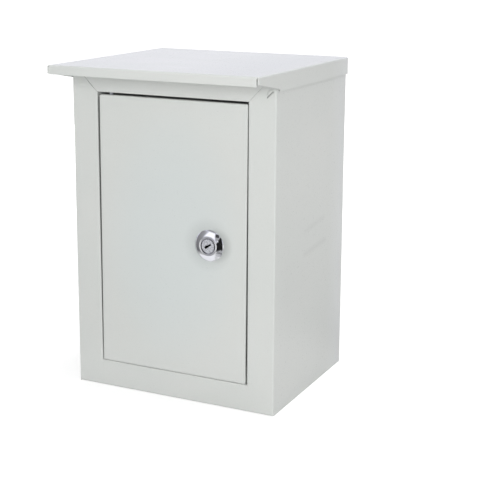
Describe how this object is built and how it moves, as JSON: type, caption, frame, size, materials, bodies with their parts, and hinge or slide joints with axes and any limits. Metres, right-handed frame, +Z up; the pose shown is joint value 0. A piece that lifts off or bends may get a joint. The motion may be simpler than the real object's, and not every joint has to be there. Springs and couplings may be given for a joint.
{
  "type": "lockable steel box",
  "caption": "Small lockable box in light grey painted sheet steel, with an inset hinged door, a round cam lock, a mitred front frame and a projecting rain hood.",
  "frame": {"origin": "centre of the body's base, under the middle of its width and depth, on the surface it stands on", "axes": "+Z up, the door faces -Y, the wall side faces +Y, +X to the right as seen from the front"},
  "size_m": [0.202, 0.1965, 0.3],
  "materials": {
    "painted_steel": "semi-gloss light grey powder coat",
    "zinc_plate": "bright zinc plate",
    "spring_steel": "oiled spring steel",
    "bright_chrome": "polished chrome plate",
    "satin_chrome": "fine blasted chrome plate",
    "black_rubber": "matt moulded rubber",
    "nylon": "natural nylon",
    "brass": "stamped brass"
  },
  "bodies": {
    "cabinet": {"left_side_panel": "painted_steel", "right_side_panel": "painted_steel", "top_panel": "painted_steel", "bottom_panel": "painted_steel", "back_panel": "painted_steel", "roof_cap": "painted_steel", "door_stop_strip": "painted_steel", "stop_buffers": "black_rubber", "pivot_washer": "nylon", "upper_hinge_pin": "zinc_plate", "upper_pin_clip": "spring_steel"},
    "door": {"door_panel": "painted_steel", "lower_hinge_pin": "zinc_plate", "lower_pin_clip": "spring_steel", "lock_housing": "bright_chrome", "lock_washer": "zinc_plate", "lock_nut": "zinc_plate"},
    "lock_core": {"lock_plug": "satin_chrome", "wafer_tumblers": "brass", "wafer_springs": "spring_steel", "stop_washer": "zinc_plate", "lock_cam": "zinc_plate", "cam_spring_washer": "spring_steel", "cam_screw": "zinc_plate"}
  },
  "joints": [
    {"name": "door_hinge", "type": "hinge", "parent": "cabinet", "child": "door", "pos_m": [-0.0617, -0.0757, 0.15], "axis": [0, 0, -1], "range_deg": [0, 120]},
    {"name": "lock_turn", "type": "hinge", "parent": "door", "child": "lock_core", "pos_m": [0.0376, -0.08, 0.1468], "axis": [0, -1, 0], "range_deg": [0, 90]}
  ]
}
